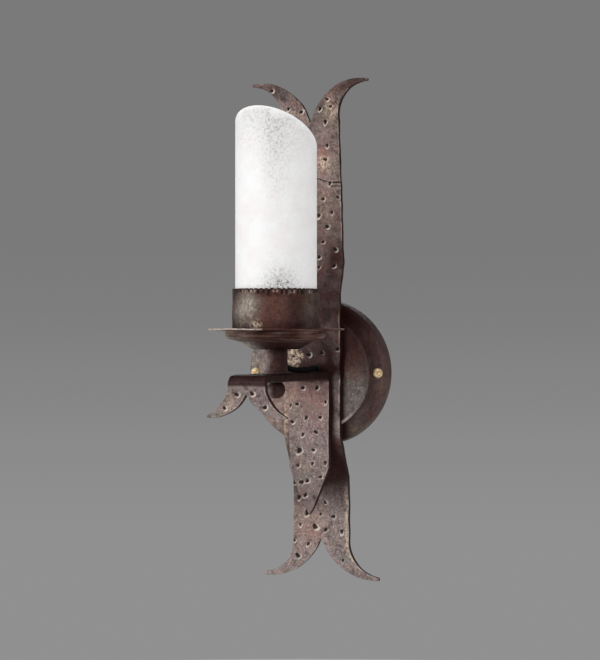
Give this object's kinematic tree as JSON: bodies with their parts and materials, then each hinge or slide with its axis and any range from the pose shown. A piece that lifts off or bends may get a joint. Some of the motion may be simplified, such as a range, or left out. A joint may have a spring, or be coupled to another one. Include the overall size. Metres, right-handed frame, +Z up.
{
  "type": "wall light",
  "caption": "Forged wall light: forked back strap over a stepped rose, an arm with a forked drop, drip pan, cup and slant-cut frosted glass tube round a candle lamp.",
  "frame": {"origin": "centre of the rose on the wall's face, midway between the wall slots", "axes": "+Z up along the strap, +Y into the wall, +X to the viewer's right"},
  "size_m": [0.117, 0.1516, 0.3974],
  "materials": {
    "forged_iron": "forged, dark brown patina with worn edges",
    "rose_sheet": "dark brown patina, burnished on the boss",
    "pan_sheet": "hammered sheet with brown patina",
    "zinc_steel": "zinc plated",
    "raw_brass": "turned, lightly tarnished",
    "white_thermoplastic": "moulded, satin",
    "clear_polyamide": "moulded, milky",
    "black_rubber": "moulded, matt",
    "black_pvc": "extruded, satin",
    "brown_pvc": "extruded, satin",
    "blue_pvc": "extruded, satin",
    "green_pvc": "extruded, satin",
    "nickel_plate": "nickel plated",
    "black_glass": "vitreous, glossy",
    "opal_glass": "opal, satin",
    "frosted_glass": "frosted and mottled white",
    "grey_felt": "pressed felt"
  },
  "bodies": {
    "root": {"wall_strip": "zinc_steel", "earth_screw": "raw_brass", "canopy": "rose_sheet", "canopy_screws": "raw_brass", "cable_grommet": "black_rubber", "back_strap": "forged_iron", "arm_bracket": "forged_iron", "arm_studs": "zinc_steel", "stud_washers": "zinc_steel", "stud_nuts": "zinc_steel", "terminal_block": "clear_polyamide", "terminal_screws": "zinc_steel", "block_screw": "zinc_steel", "lead_sleeve": "black_pvc", "live_core": "brown_pvc", "neutral_core": "blue_pvc", "earth_core": "green_pvc", "stem_washer": "forged_iron", "stem_tube": "forged_iron", "ball_finial": "forged_iron", "under_dish": "pan_sheet", "drip_pan": "pan_sheet", "glass_cup": "pan_sheet", "hollow_nipple": "zinc_steel", "nipple_nut": "zinc_steel", "holder_base": "white_thermoplastic", "holder_insert": "white_thermoplastic", "holder_shell": "white_thermoplastic", "lamp_thread": "raw_brass", "centre_contact": "raw_brass"},
    "shade_seat": {"felt_ring": "grey_felt"},
    "shade": {"glass_shade": "frosted_glass"},
    "lamp": {"lamp_cap": "nickel_plate", "cap_insulator": "black_glass", "cap_contact": "nickel_plate", "lamp_glass": "opal_glass"}
  },
  "joints": [
    {"name": "shade_turn", "type": "hinge", "parent": "root", "child": "shade_seat", "pos_m": [0, -0.0967, 0.0313], "axis": [0, 0, 1], "continuous": true},
    {"name": "shade_lift", "type": "slide", "parent": "shade_seat", "child": "shade", "axis": [0, 0, 1], "range_m": [0, 0.14]},
    {"name": "lamp_lift", "type": "slide", "parent": "root", "child": "lamp", "axis": [0, 0, 1], "range_m": [0, 0.15]}
  ]
}
